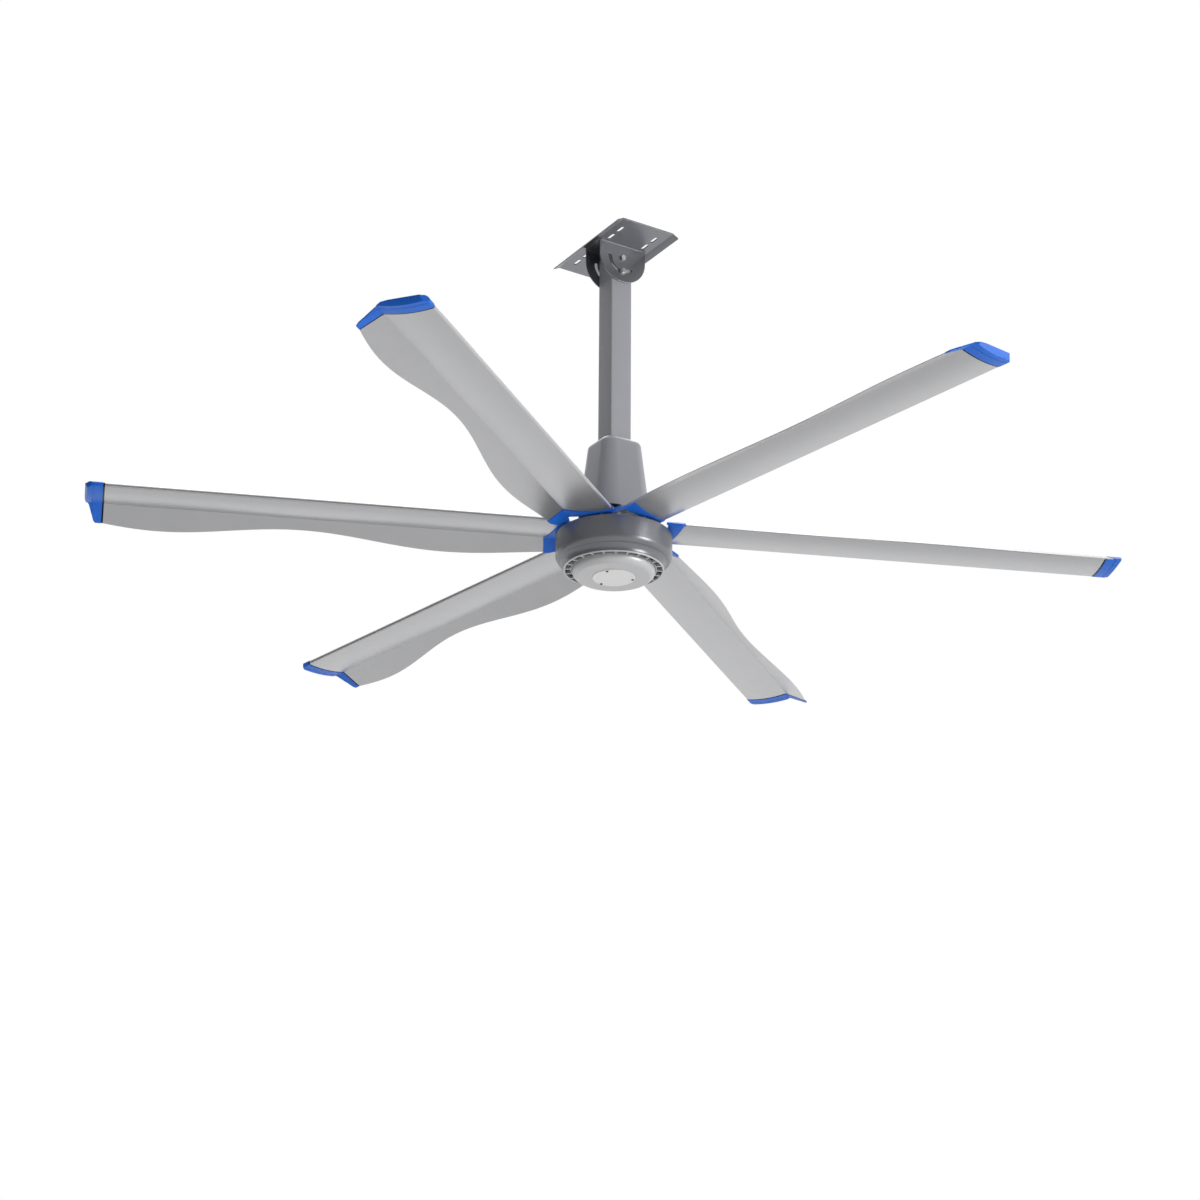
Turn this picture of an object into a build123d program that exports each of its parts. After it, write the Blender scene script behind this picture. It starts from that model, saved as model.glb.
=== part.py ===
from build123d import *
from math import cos, sin, radians, pi
import os

# High volume low speed ceiling fan. Origin: centre of the ceiling plate's top face.
# +Z is up, +X runs along the plate's long side and is the axis that the mast tilts about.
# Heights of the rotor are given above the plane of the blades' folds, by level().

os.makedirs("parts", exist_ok=True)

# Whole fan
fold_drop = 1096.0
tip_radius = 1740.0
blade_count = 6
first_blade = -52.2

# Ceiling plate
plate_length = 431.0
plate_width = 206.0
plate_thick = 5.0
lip_reach = 24.0
lip_fall = 12.5
slot_length = 40.0
slot_width = 11.0
slot_outer_spacing = 286.0
slot_inner_spacing = 166.0
slot_row_spacing = 141.0

# Tilt joint
pivot_below_plate = 49.0
ear_radius = 95.0
ear_thick = 5.0
ear_gap = 1.0
lock_radius = 53.0
tilt_bolt_radius = 6.0
tilt_bore_clearance = 0.08
arc_slot_clearance = 0.5
tilt_low = -35.0
tilt_high = 85.0
slot_spare = 3.0
bolt_seat_gap = 0.2
tilt_head_across = 18.0
tilt_head_high = 7.5
tilt_nut_high = 10.0
thread_past_nut = 5.0
washer_radius = 12.0
washer_thick = 2.5
sleeve_radius = 9.0

# Mast
tube_side = 85.0
tube_wall = 5.0
tube_above_pivot = 15.0
foot_side = 150.0
foot_thick = 12.0
foot_level = 74.0
foot_corner = 14.0
foot_bolt_pitch = 116.0
foot_bolt_radius = 6.0
foot_head_across = 18.0
cable_bore = 16.0

# Canopy
canopy_bottom = 50.0
canopy_top = 330.0
canopy_bottom_half = 108.0
canopy_top_half = 76.0
canopy_bottom_corner = 65.0
canopy_top_corner = 38.0
canopy_wall = 2.5
canopy_shoulder = 24.0
canopy_tube_gap = 0.3

# Bearings and fixed shaft
upper_bore = 30.0
lower_bore = 25.0
ring_wall = 7.5
ring_gap = 7.5
ring_height = 20.0
ball_radius = 6.0
ball_count = 14
race_clearance = 0.3
seat_clearance = 0.02
upper_bearing_top = -10.0
lower_bearing_top = -108.0
shaft_body_radius = 50.0
shaft_end = -150.0
shaft_end_radius = 20.0
shaft_nut_across = 55.0
shaft_nut_high = 15.0

# Stator and magnets
stator_top = -44.0
stator_bottom = -98.0
tooth_tip = 7.0
stator_slot_count = 24
stator_slot_inner = 120.0
stator_slot_wide = 18.0
core_window_circle = 85.0
core_window_radius = 24.0
core_window_count = 8
slot_mouth = 5.0
winding_fit = 0.4
end_turn_gap = 2.0
end_turn_high = 6.0
air_gap = 1.0
magnet_thick = 9.0
magnet_count = 28
magnet_share = 0.8

# Motor housing and hub disc
housing_radius = 201.0
housing_wall = 7.0
housing_top = -22.0
housing_wall_bottom = -95.0
lip_step = 15.0
lip_level = -117.0
cove_step = 15.0
cove_wall = 4.0
vent_level = -146.0
flange_thick = 8.0
flange_clearance = 2.0
end_plate_top = -120.0
end_plate_thick = 8.0
hub_ring_step = 53.0
hub_skin = 9.0
hub_boss_wall = 11.0
bearing_lip = 5.0
boss_floor = 3.0
housing_bolt_count = 8
housing_bolt_radius = 4.0

# Blade section, across the blade (first number) and up (second number)
nose_across = 57.5
nose_up = -7.6
belly_across = -20.0
belly_up = -11.5
fold_across = -100.4
top_up = 8.0
top_front = 46.0
top_rear = -60.0
nose_bulge = 4.0
flap_angle = 27.0
flap_thick = 2.6
skin = 1.4
web = 1.6

# Wave of the flap's free edge
flap_mean = 76.0
wave_at_tip = 29.0
wave_at_root = 19.0
wave_pitch = 990.0
wave_crest = 1545.0
wave_points = 19

# Blade arms
arm_start = 78.0
arm_end = 545.0
arm_centre = 15.0
arm_wide = 59.4
arm_thick = 6.0
hub_bolt_places = (95.0, 127.0)
blade_bolt_places = (290.0, 405.0, 520.0)
hub_bolt_radius = 5.0
blade_bolt_radius = 4.0
bolt_clearance = 0.4

# Root collars, their places along the blade counted from the motor housing's wall
nose_root_step = -15.0
fold_root_step = 19.0
edge_root_step = 10.0
collar_cover = 10.0
collar_proud = 3.0
collar_fit = 0.2
collar_nose_step = -36.0
collar_middle_step = -23.0
collar_edge_step = -43.0
collar_edge_across = -142.0
collar_housing_gap = 1.0

# Tip caps
cap_reach = 60.0
cap_proud = 1.2
cap_slope = 8.0
cap_nose_reach = 36.0
cap_edge_reach = 24.0
cap_tongue = 30.0
cap_tongue_fit = 0.3
groove_reach = 32.0
groove_wide = 2.0
groove_deep = 1.0

# Vent ring, dish cover and badge plate
vent_window_count = 24
vent_frame = 3.0
vent_window_deep = 19.0
vent_rib_angle = 2.6
vent_ring_high = 8.0
dish_vent_gap = 1.5
dish_bulge = 0.8
dish_face_step = 18.0
dish_rim_level = -142.0
dish_face_level = -173.0
dish_wall = 3.0
post_radius = 8.0
badge_radius = 73.0
badge_thick = 3.0
badge_screw_count = 3
badge_screw_circle = 66.0
badge_screw_radius = 2.5
badge_head_radius = 4.5
badge_head_high = 2.0

# Sizes that follow from the ones above
blade_step = 360.0 / blade_count
pivot_z = -plate_thick - pivot_below_plate
magnet_outer = housing_radius - housing_wall
magnet_inner = magnet_outer - magnet_thick
stator_radius = magnet_inner - air_gap
stator_slot_outer = stator_radius - tooth_tip
flange_inner = stator_slot_outer + flange_clearance
housing_bolt_circle = (flange_inner + housing_radius - cove_wall) / 2
lip_radius = housing_radius - lip_step
vent_outer_radius = lip_radius - cove_step
vent_window_outer = vent_outer_radius - cove_wall
vent_window_inner = vent_window_outer - vent_window_deep
vent_inner_radius = vent_window_inner - vent_frame
dish_radius = vent_inner_radius - dish_vent_gap - dish_bulge
dish_face_radius = dish_radius - dish_face_step
hub_ring_radius = housing_radius - hub_ring_step
root_at_nose = housing_radius + nose_root_step
root_at_fold = housing_radius + fold_root_step
root_at_edge = housing_radius + edge_root_step


def level(height):
    """Height above the blade fold plane, as a Z in the fan's own frame."""
    return height - fold_drop


def radial_plane(angle, reach):
    """Plane across a blade: x across it, y up, facing outward at that distance from the axis."""
    a = radians(angle)
    outward = (cos(a), sin(a), 0)
    across = (-sin(a), cos(a), 0)
    return Plane(origin=(reach * cos(a), reach * sin(a), level(0)), x_dir=across, z_dir=outward)


def plan_plane(angle, height):
    """Level plane turned so that x runs along a blade and y across it."""
    a = radians(angle)
    return Plane(origin=(0, 0, level(height)), x_dir=(cos(a), sin(a), 0), z_dir=(0, 0, 1))


def side_plane(angle):
    """Upright plane along a blade: x outward from the axis, y up."""
    a = radians(angle)
    return Plane(origin=(0, 0, level(0)), x_dir=(cos(a), sin(a), 0), z_dir=(sin(a), -cos(a), 0))


def save(piece, name):
    piece.part.label = name
    export_step(piece.part, "parts/" + name + ".step")


def across_corners(across_flats):
    return across_flats / (2 * cos(pi / 6))


# Ceiling plate: flat sheet with two long lips that flare outward and down
with BuildPart() as ceiling_plate:
    with BuildSketch(Plane.YZ.offset(-plate_length / 2)):
        with BuildLine():
            half = plate_width / 2
            Polyline(
                (-half - lip_reach, -plate_thick - lip_fall),
                (-half, -plate_thick),
                (half, -plate_thick),
                (half + lip_reach, -plate_thick - lip_fall),
                (half + lip_reach, -lip_fall),
                (half, 0),
                (-half, 0),
                (-half - lip_reach, -lip_fall),
                close=True,
            )
        make_face()
    extrude(amount=plate_length)
    with BuildSketch(Plane.XY):
        for spacing in (slot_outer_spacing, slot_inner_spacing):
            with GridLocations(spacing, slot_row_spacing, 2, 2):
                SlotOverall(slot_length, slot_width)
    extrude(amount=-plate_thick, mode=Mode.SUBTRACT)
save(ceiling_plate, "ceiling_plate")

# Ears: round cheeks under the plate, with the pivot bore and the arc slot of the lock bolt
ear_inner_x = tube_side / 2 + ear_gap
arc_slot_width = 2 * (tilt_bolt_radius + arc_slot_clearance)
arc_start = -90 - tilt_high - slot_spare
arc_size = tilt_high - tilt_low + 2 * slot_spare
arc_slot_line = CenterArc((0, pivot_z), lock_radius, arc_start, arc_size)


def make_ear(start_x, name):
    with BuildPart() as ear:
        with BuildSketch(Plane.YZ.offset(start_x)):
            with Locations((0, pivot_z)):
                Circle(ear_radius)
            with Locations((0, (pivot_z - plate_thick) / 2)):
                Rectangle(2 * ear_radius, pivot_below_plate)
            with Locations((0, pivot_z + ear_radius + pivot_below_plate)):
                Rectangle(2 * ear_radius + 2, 2 * ear_radius, mode=Mode.SUBTRACT)
            with Locations((0, pivot_z)):
                Circle(tilt_bolt_radius + tilt_bore_clearance, mode=Mode.SUBTRACT)
            SlotArc(arc_slot_line, arc_slot_width, mode=Mode.SUBTRACT)
        extrude(amount=ear_thick)
    save(ear, name)


make_ear(ear_inner_x, "ear_near")
make_ear(-ear_inner_x - ear_thick, "ear_far")

# Down tube: square tube, bored for the pivot bolt and the lock bolt
tube_top_z = pivot_z + tube_above_pivot
tube_length = tube_top_z - level(foot_level)
lock_z = pivot_z - lock_radius
with BuildPart() as down_tube:
    with BuildSketch(Plane.XY.offset(level(foot_level))):
        RectangleRounded(tube_side, tube_side, tube_wall)
        Rectangle(tube_side - 2 * tube_wall, tube_side - 2 * tube_wall, mode=Mode.SUBTRACT)
    extrude(amount=tube_length)
    with BuildSketch(Plane.YZ.offset(-tube_side)):
        with Locations((0, pivot_z), (0, lock_z)):
            Circle(tilt_bolt_radius + tilt_bore_clearance)
    extrude(amount=2 * tube_side, mode=Mode.SUBTRACT)
save(down_tube, "down_tube")

# Tilt and lock bolts, each through both ears and the tube, with a spacer sleeve inside the tube
ear_outer_x = ear_inner_x + ear_thick


def make_tilt_bolt(z, head_seat_x, name):
    with BuildPart() as bolt:
        with BuildSketch(Plane.YZ.offset(head_seat_x)):
            with Locations((0, z)):
                RegularPolygon(across_corners(tilt_head_across), 6)
        extrude(amount=tilt_head_high)
        with BuildSketch(Plane.YZ.offset(head_seat_x)):
            with Locations((0, z)):
                Circle(tilt_bolt_radius)
        nut_seat_x = ear_outer_x + bolt_seat_gap + tilt_nut_high
        extrude(amount=-(head_seat_x + nut_seat_x + thread_past_nut))
        chamfer(bolt.edges().group_by(Axis.X)[0], 1.0)
    save(bolt, name)


def make_tilt_nut(z, name):
    with BuildPart() as nut:
        with BuildSketch(Plane.YZ.offset(-ear_outer_x - bolt_seat_gap)):
            with Locations((0, z)):
                RegularPolygon(across_corners(tilt_head_across), 6)
                Circle(tilt_bolt_radius + seat_clearance, mode=Mode.SUBTRACT)
        extrude(amount=-tilt_nut_high)
    save(nut, name)


make_tilt_bolt(pivot_z, ear_outer_x + bolt_seat_gap, "pivot_bolt")
make_tilt_bolt(lock_z, ear_outer_x + bolt_seat_gap + washer_thick, "lock_bolt")
make_tilt_nut(pivot_z, "pivot_nut")
make_tilt_nut(lock_z, "lock_nut")

with BuildPart() as lock_washer:
    with BuildSketch(Plane.YZ.offset(ear_outer_x + bolt_seat_gap)):
        with Locations((0, lock_z)):
            Circle(washer_radius)
            Circle(tilt_bolt_radius + arc_slot_clearance, mode=Mode.SUBTRACT)
    extrude(amount=washer_thick)
save(lock_washer, "lock_washer")

with BuildPart() as spacer_sleeves:
    with BuildSketch(Plane.YZ.offset(-tube_side / 2 + tube_wall)):
        with Locations((0, pivot_z), (0, lock_z)):
            Circle(sleeve_radius)
            Circle(tilt_bolt_radius + bolt_clearance, mode=Mode.SUBTRACT)
    extrude(amount=tube_side - 2 * tube_wall)
save(spacer_sleeves, "spacer_sleeves")

# Tube foot: square plate welded under the tube, bolted to the fixed shaft's flange
flange_top = foot_level - foot_thick
with BuildPart() as tube_foot:
    with BuildSketch(Plane.XY.offset(level(flange_top))):
        RectangleRounded(foot_side, foot_side, foot_corner)
        Circle(cable_bore, mode=Mode.SUBTRACT)
        with GridLocations(foot_bolt_pitch, foot_bolt_pitch, 2, 2):
            Circle(foot_bolt_radius + bolt_clearance, mode=Mode.SUBTRACT)
    extrude(amount=foot_thick)
save(tube_foot, "tube_foot")

flange_bottom = flange_top - foot_thick
with BuildPart() as foot_bolts:
    with BuildSketch(Plane.XY.offset(level(foot_level))):
        with GridLocations(foot_bolt_pitch, foot_bolt_pitch, 2, 2):
            RegularPolygon(across_corners(foot_head_across), 6)
    extrude(amount=tilt_head_high)
    with BuildSketch(Plane.XY.offset(level(foot_level))):
        with GridLocations(foot_bolt_pitch, foot_bolt_pitch, 2, 2):
            Circle(foot_bolt_radius)
    extrude(amount=-(foot_level - flange_bottom + tilt_nut_high + 2))
save(foot_bolts, "foot_bolts")

with BuildPart() as foot_nuts:
    with BuildSketch(Plane.XY.offset(level(flange_bottom))):
        with GridLocations(foot_bolt_pitch, foot_bolt_pitch, 2, 2):
            RegularPolygon(across_corners(foot_head_across), 6)
            Circle(foot_bolt_radius + seat_clearance, mode=Mode.SUBTRACT)
    extrude(amount=-tilt_nut_high)
save(foot_nuts, "foot_nuts")

# Canopy: tapered shell with rounded corners and a soft top shoulder, open below
def tapered_block(inset):
    """Solid of the canopy's outer shape, drawn in by inset everywhere but below."""
    rise = (canopy_top_half - canopy_bottom_half) / (canopy_top - canopy_bottom)
    turn = (canopy_top_corner - canopy_bottom_corner) / (canopy_top - canopy_bottom)
    with BuildPart() as block:
        for height in (canopy_bottom, canopy_top - inset):
            half_side = canopy_bottom_half + rise * (height - canopy_bottom) - inset
            corner = canopy_bottom_corner + turn * (height - canopy_bottom) - inset
            with BuildSketch(Plane.XY.offset(level(height))):
                RectangleRounded(2 * half_side, 2 * half_side, corner)
        loft()
        fillet(block.faces().sort_by(Axis.Z)[-1].edges(), canopy_shoulder - inset)
    return block.part


with BuildPart() as canopy:
    add(tapered_block(0))
    add(tapered_block(canopy_wall), mode=Mode.SUBTRACT)
    with BuildSketch(Plane.XY.offset(level(canopy_top - canopy_shoulder))):
        Rectangle(tube_side + 2 * canopy_tube_gap, tube_side + 2 * canopy_tube_gap)
    extrude(amount=2 * canopy_shoulder, mode=Mode.SUBTRACT)
save(canopy, "canopy")

# Fixed shaft: square flange on top, bearing seats, stator seat and threaded end
upper_bearing_bottom = upper_bearing_top - ring_height
lower_bearing_bottom = lower_bearing_top - ring_height
with BuildPart() as fixed_shaft:
    with BuildSketch(Plane.XY.offset(level(flange_bottom))):
        RectangleRounded(foot_side, foot_side, foot_corner)
        with GridLocations(foot_bolt_pitch, foot_bolt_pitch, 2, 2):
            Circle(foot_bolt_radius + bolt_clearance, mode=Mode.SUBTRACT)
    extrude(amount=foot_thick)
    with BuildSketch(Plane.XZ):
        with BuildLine():
            Polyline(
                (0, level(flange_bottom)),
                (upper_bore, level(flange_bottom)),
                (upper_bore, level(upper_bearing_bottom)),
                (shaft_body_radius, level(upper_bearing_bottom)),
                (shaft_body_radius, level(stator_bottom)),
                (lower_bore + ring_wall / 2, level(stator_bottom)),
                (lower_bore + ring_wall / 2, level(lower_bearing_top)),
                (lower_bore, level(lower_bearing_top)),
                (lower_bore, level(lower_bearing_bottom)),
                (shaft_end_radius, level(lower_bearing_bottom)),
                (shaft_end_radius, level(shaft_end)),
                (0, level(shaft_end)),
                close=True,
            )
        make_face()
    revolve(axis=Axis.Z)
    with BuildSketch(Plane.XY.offset(level(flange_top))):
        Circle(cable_bore)
    extrude(amount=-(flange_top - stator_top), mode=Mode.SUBTRACT)
save(fixed_shaft, "fixed_shaft")

with BuildPart() as shaft_nut:
    with BuildSketch(Plane.XY.offset(level(lower_bearing_bottom))):
        RegularPolygon(across_corners(shaft_nut_across), 6)
        Circle(shaft_end_radius + seat_clearance, mode=Mode.SUBTRACT)
    extrude(amount=-shaft_nut_high)
save(shaft_nut, "shaft_nut")


# Ball bearings: inner ring on the fixed shaft, outer ring and balls with the rotor
def make_ring(inner_radius, top, race_radius, name):
    with BuildPart() as ring:
        with BuildSketch(Plane.XZ):
            with BuildLine():
                Polyline(
                    (inner_radius, level(top)),
                    (inner_radius + ring_wall, level(top)),
                    (inner_radius + ring_wall, level(top - ring_height)),
                    (inner_radius, level(top - ring_height)),
                    close=True,
                )
            make_face()
            with Locations((race_radius, level(top - ring_height / 2))):
                Circle(ball_radius + race_clearance, mode=Mode.SUBTRACT)
        revolve(axis=Axis.Z)
    save(ring, name)


def make_balls(race_radius, top, name):
    with BuildPart() as balls:
        with Locations((0, 0, level(top - ring_height / 2))):
            with PolarLocations(race_radius, ball_count):
                Sphere(ball_radius)
    save(balls, name)


for bore, top, name in (
    (upper_bore, upper_bearing_top, "upper_bearing"),
    (lower_bore, lower_bearing_top, "lower_bearing"),
):
    race = bore + seat_clearance + ring_wall + ring_gap / 2
    make_ring(bore + seat_clearance, top, race, name + "_inner")
    make_ring(bore + seat_clearance + ring_wall + ring_gap, top, race, name + "_outer")
    make_balls(race, top, name + "_balls")

upper_outer_radius = upper_bore + 2 * seat_clearance + 2 * ring_wall + ring_gap
lower_outer_radius = lower_bore + 2 * seat_clearance + 2 * ring_wall + ring_gap

# Stator core: toothed ring on the fixed shaft
with BuildPart() as stator_core:
    with BuildSketch(Plane.XY.offset(level(stator_bottom))):
        Circle(stator_radius)
        Circle(shaft_body_radius + seat_clearance, mode=Mode.SUBTRACT)
        with PolarLocations((stator_slot_inner + stator_slot_outer) / 2, stator_slot_count):
            Rectangle(stator_slot_outer - stator_slot_inner, stator_slot_wide, mode=Mode.SUBTRACT)
        with PolarLocations(stator_radius, stator_slot_count):
            Rectangle(2 * tooth_tip + 1, slot_mouth, mode=Mode.SUBTRACT)
        with PolarLocations(core_window_circle, core_window_count):
            Circle(core_window_radius, mode=Mode.SUBTRACT)
    extrude(amount=stator_top - stator_bottom)
save(stator_core, "stator_core")

# Windings: bars in the slots, joined by end turns above and below the core
winding_bottom = stator_bottom - end_turn_gap - end_turn_high
winding_top = stator_top + end_turn_gap + end_turn_high
bar_inner = stator_slot_inner + winding_fit
bar_outer = stator_slot_outer - winding_fit
with BuildPart() as stator_windings:
    with BuildSketch(Plane.XY.offset(level(winding_bottom))):
        with PolarLocations((bar_inner + bar_outer) / 2, stator_slot_count):
            Rectangle(bar_outer - bar_inner, stator_slot_wide - 2 * winding_fit)
    extrude(amount=winding_top - winding_bottom)
    for height in (winding_bottom, winding_top - end_turn_high):
        with BuildSketch(Plane.XY.offset(level(height))):
            Circle(bar_outer - 2)
            Circle(bar_inner + 2, mode=Mode.SUBTRACT)
        extrude(amount=end_turn_high)
save(stator_windings, "stator_windings")

# Rotor magnets: arc blocks on the housing's inner wall
magnet_step = 360.0 / magnet_count
with BuildPart() as rotor_magnets:
    with BuildSketch(Plane.XY.offset(level(stator_bottom))):
        Circle(magnet_outer)
        Circle(magnet_inner, mode=Mode.SUBTRACT)
        gap_wide = magnet_outer * radians(magnet_step) * (1 - magnet_share)
        with PolarLocations((magnet_inner + magnet_outer) / 2, magnet_count):
            Rectangle(2 * magnet_thick, gap_wide, mode=Mode.SUBTRACT)
    extrude(amount=stator_top - stator_bottom)
save(rotor_magnets, "rotor_magnets")

# Motor housing: side wall, step lip, concave cove down to the vents, end plate and bearing boss
flange_level = housing_top - flange_thick
end_plate_bottom = end_plate_top - end_plate_thick
boss_outer = lower_outer_radius + 8
with BuildPart() as motor_housing:
    with BuildSketch(Plane.XZ):
        with BuildLine():
            Polyline(
                (lower_outer_radius, level(lower_bearing_top)),
                (boss_outer, level(lower_bearing_top)),
                (boss_outer, level(end_plate_top)),
                (lip_radius - 2 * cove_wall, level(end_plate_top)),
                (magnet_outer, level(housing_wall_bottom - 3)),
                (magnet_outer, level(flange_level - flange_thick)),
                (flange_inner, level(flange_level - flange_thick)),
                (flange_inner, level(flange_level)),
                (housing_radius - cove_wall, level(flange_level)),
                (housing_radius - cove_wall, level(housing_top)),
                (housing_radius - 2, level(housing_top)),
                (housing_radius, level(housing_top - 2)),
                (housing_radius, level(housing_wall_bottom)),
            )
            ThreePointArc(
                (housing_radius, level(housing_wall_bottom)),
                (housing_radius - 4, level(lip_level + 9)),
                (lip_radius + 1.5, level(lip_level)),
            )
            Line((lip_radius + 1.5, level(lip_level)), (lip_radius - 1.5, level(lip_level)))
            ThreePointArc(
                (lip_radius - 1.5, level(lip_level)),
                (vent_outer_radius + 3, level(lip_level - 13)),
                (vent_outer_radius, level(vent_level)),
            )
            vent_seat = vent_window_outer + 1
            Polyline(
                (vent_outer_radius, level(vent_level)),
                (vent_seat, level(vent_level)),
                (vent_seat, level(end_plate_bottom)),
                (boss_outer, level(end_plate_bottom)),
                (boss_outer, level(lower_bearing_bottom - boss_floor)),
                (lower_outer_radius - bearing_lip, level(lower_bearing_bottom - boss_floor)),
                (lower_outer_radius - bearing_lip, level(lower_bearing_bottom)),
                (lower_outer_radius, level(lower_bearing_bottom)),
                (lower_outer_radius, level(lower_bearing_top)),
            )
        make_face()
    revolve(axis=Axis.Z)
    with BuildSketch(Plane.XY.offset(level(flange_level))):
        with PolarLocations(housing_bolt_circle, housing_bolt_count):
            Circle(housing_bolt_radius + seat_clearance)
    extrude(amount=-flange_thick, mode=Mode.SUBTRACT)
    with BuildSketch(Plane.XY.offset(level(end_plate_bottom))):
        with PolarLocations((boss_outer + stator_slot_inner) / 2 + 10, 2 * blade_count):
            Circle(12)
    extrude(amount=end_plate_thick, mode=Mode.SUBTRACT)
save(motor_housing, "motor_housing")

# Hub disc: cover bolted on the housing, with the raised ring that carries the blade arms
arm_bottom = top_up - skin - arm_thick
boss_radius = upper_outer_radius + hub_boss_wall
with BuildPart() as hub_disc:
    with BuildSketch(Plane.XZ):
        with BuildLine():
            Polyline(
                (upper_outer_radius - bearing_lip, level(arm_bottom)),
                (hub_ring_radius, level(arm_bottom)),
                (hub_ring_radius, level(housing_top)),
                (housing_radius - cove_wall - seat_clearance, level(housing_top)),
                (housing_radius - cove_wall - seat_clearance, level(flange_level)),
                (hub_ring_radius - hub_skin, level(flange_level)),
                (hub_ring_radius - hub_skin, level(arm_bottom - hub_skin)),
                (boss_radius, level(arm_bottom - hub_skin)),
                (boss_radius, level(upper_bearing_bottom)),
                (upper_outer_radius, level(upper_bearing_bottom)),
                (upper_outer_radius, level(upper_bearing_top)),
                (upper_outer_radius - bearing_lip, level(upper_bearing_top)),
                close=True,
            )
        make_face()
    revolve(axis=Axis.Z)
    with BuildSketch(Plane.XY.offset(level(housing_top))):
        with PolarLocations(housing_bolt_circle, housing_bolt_count):
            Circle(housing_bolt_radius + bolt_clearance)
    extrude(amount=-flange_thick, mode=Mode.SUBTRACT)
    for k in range(blade_count):
        with BuildSketch(plan_plane(first_blade + k * blade_step, arm_bottom)):
            with Locations(*[(place, arm_centre) for place in hub_bolt_places]):
                Circle(hub_bolt_radius + seat_clearance)
        extrude(amount=-hub_skin, mode=Mode.SUBTRACT)
save(hub_disc, "hub_disc")

with BuildPart() as housing_bolts:
    with BuildSketch(Plane.XY.offset(level(housing_top))):
        with PolarLocations(housing_bolt_circle, housing_bolt_count):
            Circle(1.6 * housing_bolt_radius)
            RegularPolygon(0.8 * housing_bolt_radius, 6, mode=Mode.SUBTRACT)
    extrude(amount=housing_bolt_radius)
    with BuildSketch(Plane.XY.offset(level(housing_top))):
        with PolarLocations(housing_bolt_circle, housing_bolt_count):
            Circle(housing_bolt_radius)
    extrude(amount=-2 * flange_thick)
save(housing_bolts, "housing_bolts")


# Blades: hollow section with a drooping flap, whose free edge is cut to a wave
def belly_arc_height(across):
    """Height of the underside between nose and fold, on the circle through nose, belly and fold."""
    ax, ay = nose_across, nose_up
    bx, by = belly_across, belly_up
    cx, cy = fold_across, 0.0
    d = 2 * (ax * (by - cy) + bx * (cy - ay) + cx * (ay - by))
    a2, b2, c2 = ax**2 + ay**2, bx**2 + by**2, cx**2 + cy**2
    ox = (a2 * (by - cy) + b2 * (cy - ay) + c2 * (ay - by)) / d
    oy = (a2 * (cx - bx) + b2 * (ax - cx) + c2 * (bx - ax)) / d
    radius = ((ax - ox) ** 2 + (ay - oy) ** 2) ** 0.5
    return oy - (radius**2 - (across - ox) ** 2) ** 0.5


def flap_length(reach):
    """Width of the flap at a distance from the fan's axis."""
    swing = wave_at_root + (wave_at_tip - wave_at_root) * reach / tip_radius
    return flap_mean + swing * cos(2 * pi * (reach - wave_crest) / wave_pitch)


flap_cos = cos(radians(flap_angle))
flap_sin = sin(radians(flap_angle))
flap_blank = flap_mean + wave_at_tip + 6


def blade_section(flap, grow=0.0):
    """Blade section with a flap of that width, grown outward all round by grow."""
    edge_across = fold_across - flap * flap_cos
    edge_up = -flap * flap_sin
    with BuildSketch() as section:
        with BuildLine():
            ThreePointArc((nose_across, nose_up), (belly_across, belly_up), (fold_across, 0))
            Polyline(
                (fold_across, 0),
                (edge_across, edge_up),
                (edge_across - flap_thick * flap_sin, edge_up + flap_thick * flap_cos),
                (fold_across + flap_thick * 0.5, flap_thick * 1.6),
                (top_rear, top_up),
                (top_front, top_up),
            )
            ThreePointArc(
                (top_front, top_up),
                (nose_across + nose_bulge, (top_up + nose_up) / 2 + 1.5),
                (nose_across, nose_up),
            )
        make_face()
        if grow:
            offset(amount=grow)
    return section.sketch


channel_rear = arm_centre - arm_wide / 2 - 0.3
channel_front = arm_centre + arm_wide / 2 + 0.3


def cavity(rear, front, rear_top, front_top):
    """One hollow of the section, its floor following the underside."""
    middle = (rear + front) / 2
    with BuildSketch() as hollow:
        with BuildLine():
            Polyline(
                (rear, rear_top - skin),
                (front, front_top - skin),
                (front, belly_arc_height(front) + skin),
                (middle, belly_arc_height(middle) + skin),
                (rear, belly_arc_height(rear) + skin),
                close=True,
            )
        make_face()
    return hollow.sketch


tail = fold_across + 14
tail_top = top_up - (top_rear - tail) / (top_rear - fold_across) * (top_up - 1.6 * flap_thick)


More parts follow.
